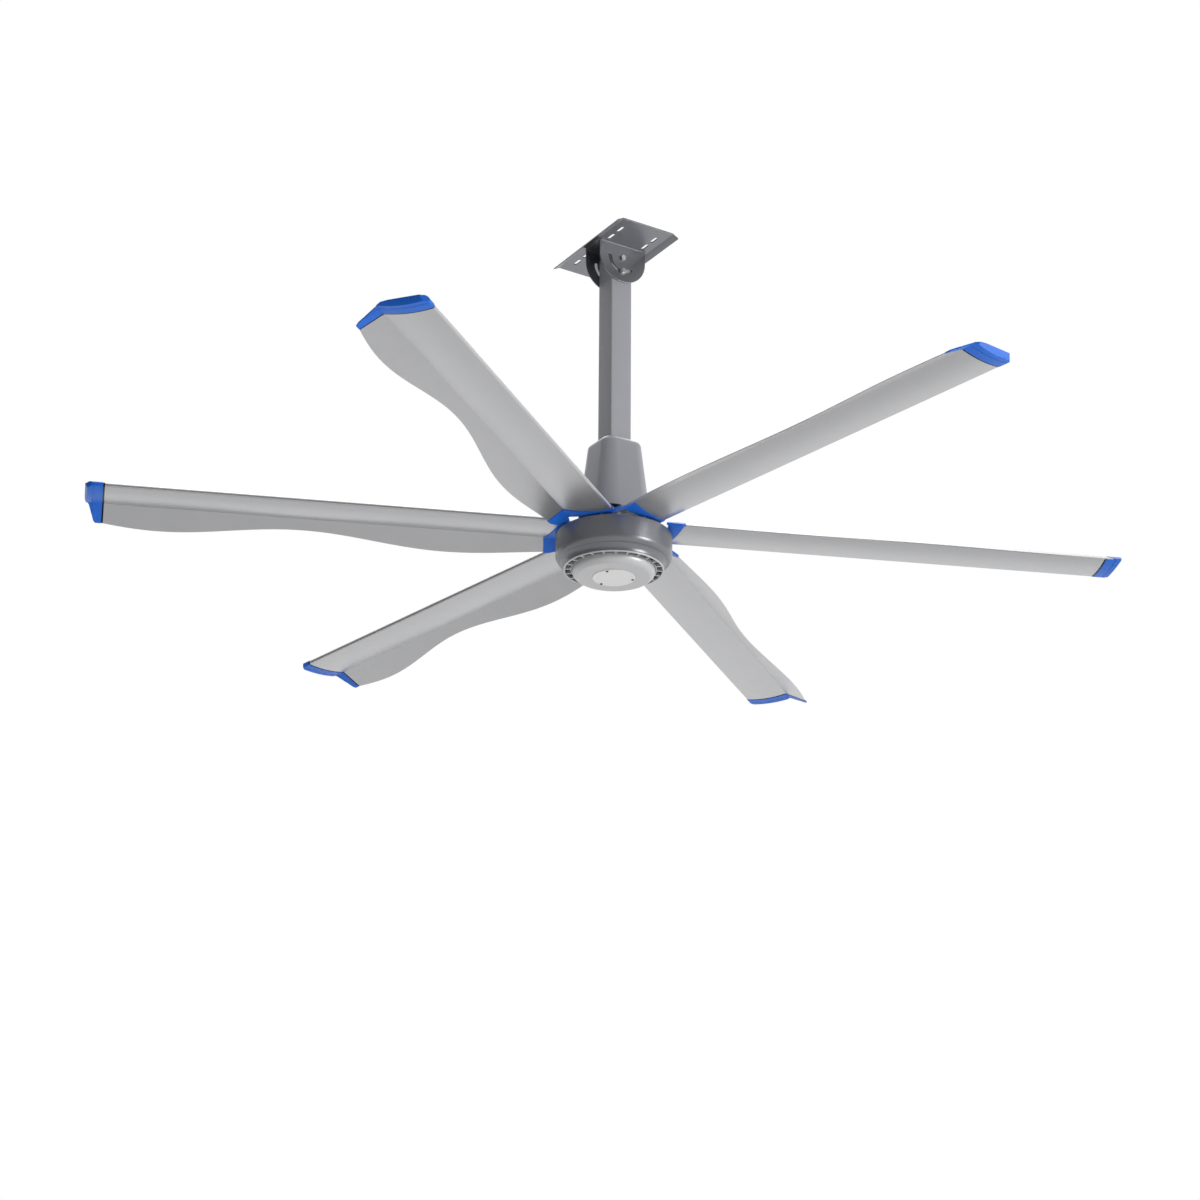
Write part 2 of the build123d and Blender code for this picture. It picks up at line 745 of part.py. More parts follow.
def make_blade(angle, name):
    with BuildPart() as blade:
        with BuildSketch(radial_plane(angle, 0)):
            add(blade_section(flap_blank))
        extrude(amount=tip_radius)
        with BuildSketch(radial_plane(angle, 0)):
            add(cavity(channel_rear, channel_front, top_up, top_up))
            add(cavity(top_rear + web / 2, channel_rear - web, top_up, top_up))
            add(cavity(tail, top_rear - web / 2, tail_top, top_up))
        extrude(amount=tip_radius, mode=Mode.SUBTRACT)
        with BuildSketch(plan_plane(angle, -2 * flap_blank)):
            with BuildLine():
                reaches = [k * tip_radius * 1.02 / (wave_points - 1) for k in range(wave_points)]
                edge = [(r, fold_across - flap_length(r) * flap_cos) for r in reaches]
                Spline(*edge)
                far = fold_across - 2 * flap_blank
                Polyline(edge[-1], (edge[-1][0], far), (edge[0][0], far), edge[0])
            make_face()
        extrude(amount=3 * flap_blank, mode=Mode.SUBTRACT)
        with BuildSketch(plan_plane(angle, -2 * flap_blank)):
            with BuildLine():
                far = fold_across - 2 * flap_blank
                Polyline(
                    (-nose_across, 2 * nose_across),
                    (root_at_nose, 2 * nose_across),
                    (root_at_nose, nose_across),
                    (root_at_fold, fold_across),
                    (root_at_edge, far),
                    (-nose_across, far),
                    close=True,
                )
            make_face()
        extrude(amount=3 * flap_blank, mode=Mode.SUBTRACT)
        with BuildSketch(plan_plane(angle, top_up)):
            with Locations(*[(place, arm_centre) for place in blade_bolt_places]):
                Circle(blade_bolt_radius + bolt_clearance)
        extrude(amount=-skin, mode=Mode.SUBTRACT)
    save(blade, name)


# Blade arms: flat steel bars from the hub disc into the blades' channels
def make_arm(angle, name):
    with BuildPart() as arm:
        with BuildSketch(plan_plane(angle, arm_bottom)):
            with Locations(((arm_start + arm_end) / 2, arm_centre)):
                Rectangle(arm_end - arm_start, arm_wide)
            with Locations(*[(place, arm_centre) for place in hub_bolt_places]):
                Circle(hub_bolt_radius + bolt_clearance, mode=Mode.SUBTRACT)
            with Locations(*[(place, arm_centre) for place in blade_bolt_places]):
                Circle(blade_bolt_radius + seat_clearance, mode=Mode.SUBTRACT)
        extrude(amount=arm_thick)
        fillet(arm.edges().filter_by(Axis.Z).group_by(SortBy.LENGTH)[-1], 6)
    save(arm, name)


# Root collars: moulded covers that close the blades' inner ends and ring the hub
def collar_pocket(angle, flap):
    """Room for the blade's inner end, with the fit all round."""
    far = fold_across - 2 * flap_blank
    with BuildPart() as pocket:
        with BuildSketch(radial_plane(angle, 0)):
            add(blade_section(flap, collar_fit))
        extrude(amount=2 * root_at_fold)
        with BuildSketch(plan_plane(angle, -2 * flap_blank)):
            with BuildLine():
                Polyline(
                    (2 * root_at_fold, 2 * nose_across),
                    (root_at_nose - collar_fit, 2 * nose_across),
                    (root_at_nose - collar_fit, nose_across),
                    (root_at_fold - collar_fit, fold_across),
                    (root_at_edge - collar_fit, far),
                    (2 * root_at_fold, far),
                    close=True,
                )
            make_face()
        extrude(amount=3 * flap_blank, mode=Mode.INTERSECT)
    return pocket.part


def make_collar(angle, name):
    flap = flap_length(root_at_edge + collar_cover)
    nose_side = nose_across + nose_bulge + 2 * collar_proud
    edge_side = fold_across - flap * flap_cos - 2 * collar_proud
    inner_nose = housing_radius + collar_nose_step
    inner_edge = housing_radius + collar_edge_step
    with BuildPart() as collar:
        with BuildSketch(radial_plane(angle, 0)):
            add(blade_section(flap, collar_proud))
        extrude(amount=2 * root_at_fold)
        with BuildSketch(plan_plane(angle, -2 * flap_blank)):
            with BuildLine():
                ThreePointArc(
                    (inner_nose, nose_side),
                    (housing_radius + collar_middle_step, (nose_across + fold_across) * 1.3),
                    (inner_edge, collar_edge_across + 4),
                )
                Polyline(
                    (inner_edge, collar_edge_across + 4),
                    (inner_edge, collar_edge_across),
                    (root_at_edge + collar_cover - 5, edge_side),
                    (root_at_edge + collar_cover, edge_side + 5),
                    (root_at_fold + collar_cover, fold_across),
                    (root_at_nose + collar_cover, nose_across),
                    (root_at_nose + collar_cover, nose_side),
                    (inner_nose, nose_side),
                )
            make_face()
        extrude(amount=3 * flap_blank, mode=Mode.INTERSECT)
        add(collar_pocket(angle, flap), mode=Mode.SUBTRACT)
        with BuildSketch(radial_plane(angle, 0)):
            with Locations((arm_centre, arm_bottom + arm_thick / 2)):
                Rectangle(arm_wide + 2 * collar_fit, arm_thick + 2 * collar_fit)
        extrude(amount=2 * root_at_fold, mode=Mode.SUBTRACT)
        with BuildSketch(Plane.XY.offset(level(housing_top + 2 * collar_housing_gap))):
            Circle(housing_radius + collar_housing_gap)
        extrude(amount=-2 * flap_blank, mode=Mode.SUBTRACT)
    save(collar, name)


# Tip caps: moulded ends with a tongue in the blade's channel and a groove round the sleeve
def make_cap(angle, name):
    flap = flap_length(tip_radius)
    edge_side = fold_across - flap * flap_cos - cap_proud - flap_thick
    nose_side = nose_across + nose_bulge + 2 * cap_proud
    with BuildPart() as cap:
        with BuildSketch(radial_plane(angle, tip_radius)):
            add(blade_section(flap, cap_proud))
        extrude(amount=cap_reach)
        with BuildSketch(radial_plane(angle, tip_radius + groove_reach)):
            add(blade_section(flap, 2 * cap_proud))
            add(blade_section(flap, cap_proud - groove_deep), mode=Mode.SUBTRACT)
        extrude(amount=groove_wide, mode=Mode.SUBTRACT)
        with BuildSketch(plan_plane(angle, -2 * flap_blank)):
            with BuildLine():
                Polyline(
                    (tip_radius, nose_side),
                    (tip_radius + cap_nose_reach, nose_side),
                    (tip_radius + cap_reach, nose_across - 18),
                    (tip_radius + cap_reach, fold_across + 16),
                    (tip_radius + cap_reach - 15, fold_across - 6),
                    (tip_radius + cap_edge_reach + 3, edge_side + 12),
                    (tip_radius + cap_edge_reach - 6, edge_side),
                    (tip_radius, edge_side),
                    close=True,
                )
            make_face()
        extrude(amount=3 * flap_blank, mode=Mode.INTERSECT)
        cap_end = tip_radius + cap_reach
        with BuildSketch(side_plane(angle)):
            with BuildLine():
                Polyline(
                    (cap_end, top_up),
                    (cap_end - cap_slope, belly_up),
                    (cap_end - 4 * cap_slope, belly_up - 3 * (top_up - belly_up)),
                    (cap_end + cap_slope, belly_up - 3 * (top_up - belly_up)),
                    (cap_end + cap_slope, top_up),
                    close=True,
                )
            make_face()
        extrude(amount=2 * flap_blank, both=True, mode=Mode.SUBTRACT)
        tongue_rear = channel_rear + cap_tongue_fit
        tongue_front = channel_front - cap_tongue_fit
        tongue_top = top_up - skin - cap_tongue_fit
        tongue_bottom = belly_arc_height(tongue_front) + skin + cap_tongue_fit
        with BuildSketch(radial_plane(angle, tip_radius - cap_tongue)):
            with Locations(((tongue_rear + tongue_front) / 2, (tongue_top + tongue_bottom) / 2)):
                Rectangle(tongue_front - tongue_rear, tongue_top - tongue_bottom)
        extrude(amount=cap_tongue)
    save(cap, name)


for k in range(blade_count):
    angle = first_blade + k * blade_step
    number = str(k + 1)
    make_arm(angle, "blade_arm_" + number)
    make_blade(angle, "blade_" + number)
    make_collar(angle, "root_collar_" + number)
    make_cap(angle, "tip_cap_" + number)


def make_hex_bolts(places, seat, radius, head_across, length, name):
    """Hexagon bolts down into each blade arm, their heads on the seat's level."""
    with BuildPart() as bolts:
        for k in range(blade_count):
            with BuildSketch(plan_plane(first_blade + k * blade_step, seat)):
                with Locations(*[(place, arm_centre) for place in places]):
                    RegularPolygon(across_corners(head_across), 6)
            extrude(amount=1.3 * radius)
            with BuildSketch(plan_plane(first_blade + k * blade_step, seat)):
                with Locations(*[(place, arm_centre) for place in places]):
                    Circle(radius)
            extrude(amount=-length)
    save(bolts, name)


hub_bolt_length = arm_thick + hub_skin
blade_bolt_length = skin + arm_thick + 2
make_hex_bolts(hub_bolt_places, top_up - skin, hub_bolt_radius, 16.0, hub_bolt_length, "hub_bolts")
make_hex_bolts(blade_bolt_places, top_up, blade_bolt_radius, 13.0, blade_bolt_length, "blade_bolts")

# Vent ring: flat ring of windows between housing and dish
with BuildPart() as vent_ring:
    with BuildSketch(Plane.XY.offset(level(vent_level))):
        Circle(vent_window_outer + 1 - seat_clearance)
        Circle(vent_inner_radius, mode=Mode.SUBTRACT)
        window_size = 360.0 / vent_window_count - vent_rib_angle
        with BuildSketch(mode=Mode.SUBTRACT):
            Circle(vent_window_outer)
            Circle(vent_window_inner, mode=Mode.SUBTRACT)
            rib_wide = 2 * pi * vent_window_outer * vent_rib_angle / 360.0
            with PolarLocations((vent_window_inner + vent_window_outer) / 2, vent_window_count):
                Rectangle(2 * (vent_window_outer - vent_window_inner), rib_wide, mode=Mode.SUBTRACT)
    extrude(amount=vent_ring_high)
save(vent_ring, "vent_ring")

# Dish cover: shallow bowl under the motor, on three posts from the end plate
with BuildPart() as dish_cover:
    with BuildSketch(Plane.XZ):
        with BuildLine():
            Polyline(
                (0, level(dish_face_level)),
                (0, level(dish_face_level + dish_wall)),
                (dish_face_radius - dish_wall, level(dish_face_level + dish_wall)),
            )
            ThreePointArc(
                (dish_face_radius - dish_wall, level(dish_face_level + dish_wall)),
                (dish_radius - dish_wall - 4, level(dish_face_level + 12)),
                (dish_radius - dish_wall, level(dish_rim_level)),
            )
            Line((dish_radius - dish_wall, level(dish_rim_level)), (dish_radius, level(dish_rim_level)))
            ThreePointArc(
                (dish_radius, level(dish_rim_level)),
                (dish_radius - 4, level(dish_face_level + 10)),
                (dish_face_radius, level(dish_face_level)),
            )
            Line((dish_face_radius, level(dish_face_level)), (0, level(dish_face_level)))
        make_face()
    revolve(axis=Axis.Z)
    with BuildSketch(plan_plane(first_blade, dish_face_level + dish_wall)):
        with PolarLocations(badge_screw_circle, badge_screw_count):
            Circle(post_radius)
    extrude(amount=end_plate_bottom - dish_face_level - dish_wall)
    with BuildSketch(plan_plane(first_blade, dish_face_level)):
        with PolarLocations(badge_screw_circle, badge_screw_count):
            Circle(badge_screw_radius + seat_clearance)
    extrude(amount=end_plate_bottom - dish_face_level - dish_wall, mode=Mode.SUBTRACT)
save(dish_cover, "dish_cover")

# Badge plate: plain round plate under the dish, held by three screws
with BuildPart() as badge_plate:
    with BuildSketch(plan_plane(first_blade, dish_face_level)):
        Circle(badge_radius)
        with PolarLocations(badge_screw_circle, badge_screw_count):
            Circle(badge_screw_radius + bolt_clearance, mode=Mode.SUBTRACT)
    extrude(amount=-badge_thick)
    fillet(badge_plate.faces().sort_by(Axis.Z)[0].edges().group_by(SortBy.LENGTH)[-1], 1.0)
save(badge_plate, "badge_plate")

with BuildPart() as badge_screws:
    with BuildSketch(plan_plane(first_blade, dish_face_level - badge_thick)):
        with PolarLocations(badge_screw_circle, badge_screw_count):
            Circle(badge_head_radius)
            RegularPolygon(badge_head_radius / 2, 6, mode=Mode.SUBTRACT)
    extrude(amount=-badge_head_high)
    with BuildSketch(plan_plane(first_blade, dish_face_level - badge_thick)):
        with PolarLocations(badge_screw_circle, badge_screw_count):
            Circle(badge_screw_radius)
    extrude(amount=badge_thick + dish_wall + 3 * badge_screw_radius)
save(badge_screws, "badge_screws")
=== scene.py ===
from math import cos, sin, pi, radians

import bmesh
import bpy
from mathutils import Matrix, Vector


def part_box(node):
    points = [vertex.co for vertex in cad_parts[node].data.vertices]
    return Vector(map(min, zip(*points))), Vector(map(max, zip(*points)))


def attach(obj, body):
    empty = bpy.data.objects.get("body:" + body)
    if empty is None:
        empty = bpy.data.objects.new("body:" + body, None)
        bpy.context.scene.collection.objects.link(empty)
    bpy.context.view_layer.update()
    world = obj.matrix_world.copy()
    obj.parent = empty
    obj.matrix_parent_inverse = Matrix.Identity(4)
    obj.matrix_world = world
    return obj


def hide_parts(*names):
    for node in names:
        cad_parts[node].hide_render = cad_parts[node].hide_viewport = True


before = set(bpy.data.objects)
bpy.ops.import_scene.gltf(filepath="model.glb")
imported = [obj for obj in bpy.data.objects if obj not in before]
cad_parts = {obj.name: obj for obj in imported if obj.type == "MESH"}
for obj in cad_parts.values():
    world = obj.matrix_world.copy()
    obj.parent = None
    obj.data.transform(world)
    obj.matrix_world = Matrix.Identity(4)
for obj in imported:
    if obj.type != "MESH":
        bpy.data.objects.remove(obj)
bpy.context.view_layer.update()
scene = bpy.context.scene
scene.view_settings.view_transform = "Standard"

# Driving sizes, in metres and degrees
MM = 0.001
BLADES = 6
FIRST_BLADE = -52.2
BLADE_STEP = 360.0 / BLADES
ARM_CENTRE = 15.0 * MM
SHADOW_LINE = 6.0 * MM

blade_angles = {k + 1: radians(FIRST_BLADE + k * BLADE_STEP) for k in range(BLADES)}


def span(node):
    """Lowest and highest corner of a CAD node, and its middle."""
    low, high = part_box(node)
    return low, high, (low + high) / 2


def tip_of(node, angle):
    """Furthest distance of a node's points along a blade's direction."""
    outward = Vector((cos(angle), sin(angle), 0))
    return max(v.co.dot(outward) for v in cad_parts[node].data.vertices)


def polar(radius, angle, height):
    return Vector((radius * cos(angle), radius * sin(angle), height))


def add_object(name, data):
    made = bpy.data.objects.new(name, data)
    scene.collection.objects.link(made)
    return made


def mesh_from(bm, name):
    mesh = bpy.data.meshes.new(name)
    bm.to_mesh(mesh)
    bm.free()
    return mesh


# Camera at the photograph's place and angle
CAMERA_PLACE = (7.929, -5.042, -5.164)
CAMERA_HEADING = 147.83
CAMERA_PITCH = 22.08
CAMERA_ROLL = 0.415
CAMERA_LENS = 89.18
CAMERA_SENSOR = 36.0
CAMERA_CLIP = 1000.0


def make_camera():
    data = bpy.data.cameras.new("camera")
    data.sensor_width = CAMERA_SENSOR
    data.lens = CAMERA_LENS
    data.clip_end = CAMERA_CLIP
    camera = add_object("camera", data)
    heading, pitch, roll = radians(CAMERA_HEADING), radians(CAMERA_PITCH), radians(CAMERA_ROLL)
    forward = Vector((cos(heading) * cos(pitch), sin(heading) * cos(pitch), sin(pitch)))
    right = Vector((sin(heading), -cos(heading), 0))
    up = right.cross(forward)
    turned_right = right * cos(roll) + up * sin(roll)
    turned_up = up * cos(roll) - right * sin(roll)
    axes = Matrix((turned_right, turned_up, -forward)).transposed()
    camera.matrix_world = Matrix.Translation(CAMERA_PLACE) @ axes.to_4x4()
    scene.camera = camera


make_camera()

# Materials: the numbered sockets are the colours of a mix node
CLOUD_SCALE = 7.0
SMUDGE_SCALE = 38.0
BUMP_DISTANCE = 0.4 * MM
PAINTED_SHADOW_EDGE = 0.3 * MM
# Near-black colour of the painted shadow on a blade's end by the tip cap, standing in for the shade in the
# joint's gap
PAINTED_SHADOW_COLOR = (0.012, 0.012, 0.014)
MIX_FIRST = 6
MIX_SECOND = 7
MIX_RESULT = 2


def link_noise(tree, coords, scale, detail=4.0, roughness=0.55):
    noise = tree.nodes.new("ShaderNodeTexNoise")
    noise.inputs["Scale"].default_value = scale
    noise.inputs["Detail"].default_value = detail
    noise.inputs["Roughness"].default_value = roughness
    tree.links.new(coords, noise.inputs["Vector"])
    return noise.outputs["Fac"]


def link_range(tree, value, low, high, start=0.3, end=0.7):
    """The value, which lies between start and end, spread from low to high."""
    spread = tree.nodes.new("ShaderNodeMapRange")
    spread.inputs["From Min"].default_value = start
    spread.inputs["From Max"].default_value = end
    spread.inputs["To Min"].default_value = low
    spread.inputs["To Max"].default_value = high
    tree.links.new(value, spread.inputs["Value"])
    return spread.outputs["Result"]


def link_mix(tree, factor, first, second):
    """Colour between first and second; each is a colour or an output."""
    mix = tree.nodes.new("ShaderNodeMix")
    mix.data_type = "RGBA"
    tree.links.new(factor, mix.inputs["Factor"])
    for number, value in ((MIX_FIRST, first), (MIX_SECOND, second)):
        if isinstance(value, bpy.types.NodeSocket):
            tree.links.new(value, mix.inputs[number])
        else:
            mix.inputs[number].default_value = (*value, 1.0)
    return mix.outputs[MIX_RESULT]


def link_math(tree, operation, first, second):
    node = tree.nodes.new("ShaderNodeMath")
    node.operation = operation
    tree.links.new(first, node.inputs[0])
    tree.links.new(second, node.inputs[1])
    return node.outputs[0]


def link_mapping(tree, coords, change, value):
    """Coordinates turned or stretched, as change says, by the value."""
    mapping = tree.nodes.new("ShaderNodeMapping")
    mapping.vector_type = "TEXTURE"
    mapping.inputs[change].default_value = value
    tree.links.new(coords, mapping.inputs["Vector"])
    return mapping.outputs["Vector"]


def finish_material(name, color, metallic, roughness, grain=900.0, depth=0.03, tint=0.07, swing=0.06,
                    specular=0.5, stretch=(1, 1, 1), turn=0.0, painted_shadow_at=None):
    """Painted, moulded or metal surface: cloudy tint, uneven gloss and a fine grain in real sizes."""
    material = bpy.data.materials.new(name)
    material.use_nodes = True
    tree = material.node_tree
    shader = tree.nodes["Principled BSDF"]
    shader.inputs["Metallic"].default_value = metallic
    shader.inputs["Specular IOR Level"].default_value = specular
    place = tree.nodes.new("ShaderNodeTexCoord").outputs["Object"]
    turned = link_mapping(tree, place, "Rotation", (0, 0, turn))
    stretched = link_mapping(tree, turned, "Scale", stretch)
    fine = link_noise(tree, stretched, grain)
    cloud = link_noise(tree, turned, CLOUD_SCALE, 5.0, 0.6)
    smudge = link_noise(tree, turned, SMUDGE_SCALE, 3.0, 0.6)
    darker = tuple(c * (1 - tint) for c in color)
    lighter = tuple(min(1.0, c * (1 + tint)) for c in color)
    shade = link_mix(tree, link_range(tree, cloud, 0, 1), darker, lighter)
    # Painted shadow: past this distance along the turned X axis the colour turns near-black, for the shade
    # in the gap at the tip cap
    if painted_shadow_at:
        split = tree.nodes.new("ShaderNodeSeparateXYZ")
        tree.links.new(turned, split.inputs[0])
        edge = link_range(tree, split.outputs["X"], 0, 1, painted_shadow_at, painted_shadow_at + PAINTED_SHADOW_EDGE)
        shade = link_mix(tree, edge, shade, PAINTED_SHADOW_COLOR)
    tree.links.new(shade, shader.inputs["Base Color"])
    smudged = link_range(tree, smudge, roughness - swing, roughness + swing)
    grained = link_range(tree, fine, -swing / 2, swing / 2)
    tree.links.new(link_math(tree, "ADD", smudged, grained), shader.inputs["Roughness"])
    if depth:
        bump = tree.nodes.new("ShaderNodeBump")
        bump.inputs["Strength"].default_value = depth
        bump.inputs["Distance"].default_value = BUMP_DISTANCE
        tree.links.new(fine, bump.inputs["Height"])
        tree.links.new(bump.outputs["Normal"], shader.inputs["Normal"])
    return material


def dress(node, material):
    """One material on every slot of a CAD node."""
    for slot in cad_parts[node].material_slots:
        slot.material = material


bracket_paint = finish_material("bracket_paint", (0.26, 0.263, 0.282), 0.88, 0.31, depth=0.002, tint=0.02,
                                swing=0.012)
tube_paint = finish_material("tube_paint", (0.395, 0.4, 0.43), 0.15, 0.42, grain=1100, depth=0.01,
                             tint=0.015, swing=0.03)
canopy_paint = finish_material("canopy_paint", (0.345, 0.35, 0.38), 0.3, 0.34, grain=1100, depth=0.008,
                               tint=0.015, swing=0.02)
housing_paint = finish_material("housing_paint", (0.215, 0.218, 0.238), 0.4, 0.31, grain=1000, depth=0.005,
                                tint=0.015, swing=0.015)
dish_paint = finish_material("dish_paint", (0.6, 0.603, 0.613), 0.25, 0.4, grain=1000, depth=0.015,
                             tint=0.015, swing=0.03)
vent_paint = finish_material("vent_paint", (0.5, 0.505, 0.515), 0.3, 0.38, grain=1000, depth=0.015,
                             tint=0.03)
badge_white = finish_material("badge_white", (0.88, 0.88, 0.875), 0.0, 0.35, grain=1400, depth=0.01,
                              tint=0.01)
screw_black = finish_material("screw_black", (0.03, 0.03, 0.032), 0.7, 0.35)
zinc = finish_material("zinc", (0.66, 0.67, 0.66), 0.9, 0.34, grain=420, depth=0.02, tint=0.06, swing=0.03)
arm_steel = finish_material("arm_steel", (0.28, 0.285, 0.29), 0.6, 0.42, grain=500, depth=0.08)
shaft_steel = finish_material("shaft_steel", (0.5, 0.5, 0.5), 1.0, 0.3, grain=350, depth=0.05,
                              stretch=(1, 1, 0.05))
bearing_steel = finish_material("bearing_steel", (0.68, 0.68, 0.68), 1.0, 0.16, grain=800, depth=0.01)
core_steel = finish_material("core_steel", (0.18, 0.18, 0.19), 0.9, 0.45, grain=2, depth=0.3,
                             stretch=(1, 1, 0.001))
copper = finish_material("copper", (0.62, 0.27, 0.12), 1.0, 0.32, grain=1, depth=0.4, stretch=(1, 1, 0.0012))
magnet = finish_material("magnet", (0.42, 0.42, 0.43), 1.0, 0.3, grain=500, depth=0.04)
blue_plastic = finish_material("blue_plastic", (0.012, 0.16, 0.74), 0.0, 0.4, grain=1300, depth=0.01,
                               tint=0.02, swing=0.03, specular=0.35)


def blade_material(k):
    """Satin silver extrusion, with die lines along the blade and a painted shadow line by the tip cap, for
    the shade in the joint's gap.
    """
    tip = tip_of("blade_%d" % k, blade_angles[k])
    return finish_material("blade_silver_%d" % k, (0.555, 0.557, 0.567), 0.82, 0.31, grain=1.0, depth=0.0,
                           tint=0.01, swing=0.012, stretch=(1.5, 14 * MM, 14 * MM), turn=blade_angles[k],
                           painted_shadow_at=tip - SHADOW_LINE)


for nodes, material in (
    (("ceiling_plate", "ear_near", "ear_far"), bracket_paint),
    (("down_tube", "tube_foot"), tube_paint),
    (("canopy",), canopy_paint),
    (("motor_housing", "hub_disc"), housing_paint),
    (("vent_ring",), vent_paint),
    (("dish_cover",), dish_paint),
    (("badge_plate",), badge_white),
    (("badge_screws",), screw_black),
    (("pivot_bolt", "lock_bolt", "pivot_nut", "lock_nut", "lock_washer", "spacer_sleeves"), zinc),
    (("foot_bolts", "foot_nuts", "housing_bolts", "hub_bolts", "blade_bolts", "shaft_nut"), zinc),
    (("upper_bearing_inner", "upper_bearing_outer", "upper_bearing_balls"), bearing_steel),
    (("lower_bearing_inner", "lower_bearing_outer", "lower_bearing_balls"), bearing_steel),
    (("fixed_shaft",), shaft_steel),
    (("stator_core",), core_steel),
    (("stator_windings",), copper),
    (("rotor_magnets",), magnet),
):
    for node in nodes:
        dress(node, material)
for k in blade_angles:
    dress("blade_%d" % k, blade_material(k))
    dress("blade_arm_%d" % k, arm_steel)
    dress("root_collar_%d" % k, blue_plastic)
    dress("tip_cap_%d" % k, blue_plastic)

# Edges of the CAD nodes: a small round that catches the light
WELD_DISTANCE = 0.002 * MM
FLAT_ANGLE = 0.3
EDGE_ANGLE = 32.0
PLATE_EDGE_ANGLE = 14.0


def soften(node, width, angle=EDGE_ANGLE):
    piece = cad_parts[node]
    mesh = piece.data
    if "custom_normal" in mesh.attributes:
        mesh.attributes.remove(mesh.attributes["custom_normal"])
    mesh.shade_smooth()
    weld = piece.modifiers.new("weld", "WELD")
    weld.merge_threshold = WELD_DISTANCE
    flat = piece.modifiers.new("flat", "DECIMATE")
    flat.decimate_type = "DISSOLVE"
    flat.angle_limit = radians(FLAT_ANGLE)
    bevel = piece.modifiers.new("bevel", "BEVEL")
    bevel.width = width
    bevel.segments = 2
    bevel.limit_method = "ANGLE"
    bevel.angle_limit = radians(angle)
    bevel.use_clamp_overlap = False
    bevel.harden_normals = True
    bevel.miter_outer = "MITER_ARC"


soften("ceiling_plate", 0.9 * MM, PLATE_EDGE_ANGLE)
soften("down_tube", 0.5 * MM)
soften("canopy", 0.6 * MM)
soften("hub_disc", 0.7 * MM)
soften("lock_washer", 0.4 * MM)
soften("tube_foot", 0.8 * MM)
for k in blade_angles:
    soften("blade_%d" % k, 0.4 * MM)
    soften("blade_arm_%d" % k, 0.6 * MM)
    soften("root_collar_%d" % k, 0.7 * MM)
    soften("tip_cap_%d" % k, 0.8 * MM)


def add_rings(bm, rings):
    """Skin over rings of points with as many points each, in order; the first and last are closed."""
    made = [[bm.verts.new(p) for p in ring] for ring in rings]
    count = len(made[0])
    for low, high in zip(made, made[1:]):
        for i in range(count):
            j = (i + 1) % count
            bm.faces.new((low[i], low[j], high[j], high[i]))
    bm.faces.new(list(reversed(made[0])))
    bm.faces.new(made[-1])


def circle(radius, height, count):
    return [polar(radius, 2 * pi * i / count, height) for i in range(count)]


# Hexagon heads and nuts: radii as parts of the size across the flats
HEX_POINTS = 48
HEX_WASHER = 0.475
HEX_CHAMFER = 0.46
HEX_TOP = 0.44
HEX_DISH = 0.3
HEX_CENTRE = 0.02
CHAMFER_SLOPE = 0.577
CHAMFER_PARTS = (0.7, 0.4, 0.15, 0.0)
WASHER_FACE = 0.5 * MM
WASHER_SHARE = 0.08
WASHER_STEP = 1.2


def hex_ring(across_flats, radius_limit, height):
    """Hexagon whose corners are cut back to radius_limit, as the chamfer of a hexagon head does."""
    ring = []
    for i in range(HEX_POINTS):
        a = 2 * pi * i / HEX_POINTS
        from_flat = (a + pi / 6) % (pi / 3) - pi / 6
        ring.append(polar(min(across_flats / 2 / cos(from_flat), radius_limit), a, height))
    return ring


def add_hex_head(bm, across_flats, low, high, chamfer_low=False, recess=0.0):
    """Hexagon head between two heights, its top corners chamfered, with a shallow dish on top."""
    corner = across_flats / 2 / cos(pi / 6)
    cut = HEX_CHAMFER * across_flats
    rise = (corner - cut) * CHAMFER_SLOPE
    if chamfer_low:
        steps = [(cut, low), (corner, low + rise)]
    else:
        seat = HEX_WASHER * across_flats
        washer = min(WASHER_FACE, (high - low) * WASHER_SHARE)
        steps = [(seat, low), (seat, low + washer), (corner, low + washer * WASHER_STEP)]
    steps.append((corner, high - rise))
    steps += [(cut + (corner - cut) * part, high - rise * part) for part in CHAMFER_PARTS]
    rings = [hex_ring(across_flats, limit, height) for limit, height in steps]
    rings.append(circle(HEX_TOP * across_flats, high, HEX_POINTS))
    rings.append(circle(HEX_DISH * across_flats, high - recess, HEX_POINTS))
    rings.append(circle(HEX_CENTRE * across_flats, high - recess, HEX_POINTS))
    add_rings(bm, rings)


# Threads: depth as a part of the pitch, cut and taper as parts of the depth
THREAD_POINTS = 32
THREAD_STEPS = 4
THREAD_DEPTH = 0.55
THREAD_CUT = 0.9
THREAD_TAPER = 0.8


def add_thread(bm, radius, start, end, pitch):
    """Threaded shank from start down to end: V grooves cut as rings that climb by one pitch a turn."""
    depth = THREAD_DEPTH * pitch
    turns = int((start - end) / pitch)
    rings = []
    for s in range(turns * THREAD_STEPS + 1):
        turned = s / THREAD_STEPS
        taper = max(0.0, (turned - (turns - 1)) * depth * THREAD_TAPER)
        ring = []
        for i in range(THREAD_POINTS):
            phase = (turned + i / THREAD_POINTS) % 1.0
            groove = depth * (1 - abs(2 * phase - 1))
            reach = radius - groove * THREAD_CUT - taper
            ring.append(polar(reach, 2 * pi * i / THREAD_POINTS, start - s * pitch / THREAD_STEPS))
        rings.append(ring)
    rings.reverse()
    add_rings(bm, rings)


# Pieces of their own and the fasteners among them
PIECE_ANGLE = 30.0
TURNED_ANGLE = 38.0
BEAD_ANGLE = 60.0


def new_piece(name, bm, material, body, smooth_angle=PIECE_ANGLE):
    bmesh.ops.recalc_face_normals(bm, faces=bm.faces)
    mesh = mesh_from(bm, name)
    mesh.materials.append(material)
    mesh.shade_smooth()
    mesh.set_sharp_from_angle(angle=radians(smooth_angle))
    piece = add_object(name, mesh)
    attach(piece, body)
    return piece


